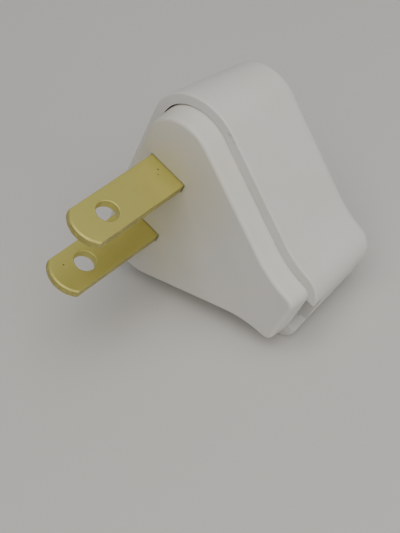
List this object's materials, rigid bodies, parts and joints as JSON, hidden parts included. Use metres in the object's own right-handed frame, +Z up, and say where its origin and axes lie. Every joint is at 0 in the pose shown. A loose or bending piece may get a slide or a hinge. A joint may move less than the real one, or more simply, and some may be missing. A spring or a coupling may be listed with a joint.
{
  "type": "electrical plug",
  "caption": "Flat right-angle electrical plug: a drafted cover round a contact carrier with flat blades, and a cord notch at its nose end.",
  "frame": {"origin": "on the flat front face, midway between the two blades", "axes": "+Z up, with the plug lying on one slanted side of its cover; +X level, along that side towards the nose end; +Y from the blades into the body, so that the blades point to -Y and rise by the cover's draft of 7 degrees"},
  "size_m": [0.0385, 0.0392, 0.0346],
  "materials": {
    "cover_plastic": "smooth white moulding",
    "carrier_plastic": "smooth white moulding",
    "clamp_plastic": "white moulding",
    "blade_brass": "satin rolled strip",
    "washer_brass": "stamped",
    "insert_brass": "turned",
    "screw_steel": "zinc plated"
  },
  "bodies": {
    "root": {"cover": "cover_plastic", "contact_carrier": "carrier_plastic", "blade_upper": "blade_brass", "blade_lower": "blade_brass", "terminal_screw_upper": "screw_steel", "terminal_screw_lower": "screw_steel", "terminal_washer_upper": "washer_brass", "terminal_washer_lower": "washer_brass", "clamp_bar": "clamp_plastic", "clamp_screw_upper": "screw_steel", "clamp_screw_lower": "screw_steel", "cover_screw": "screw_steel", "cover_insert": "insert_brass"}
  },
  "joints": []
}
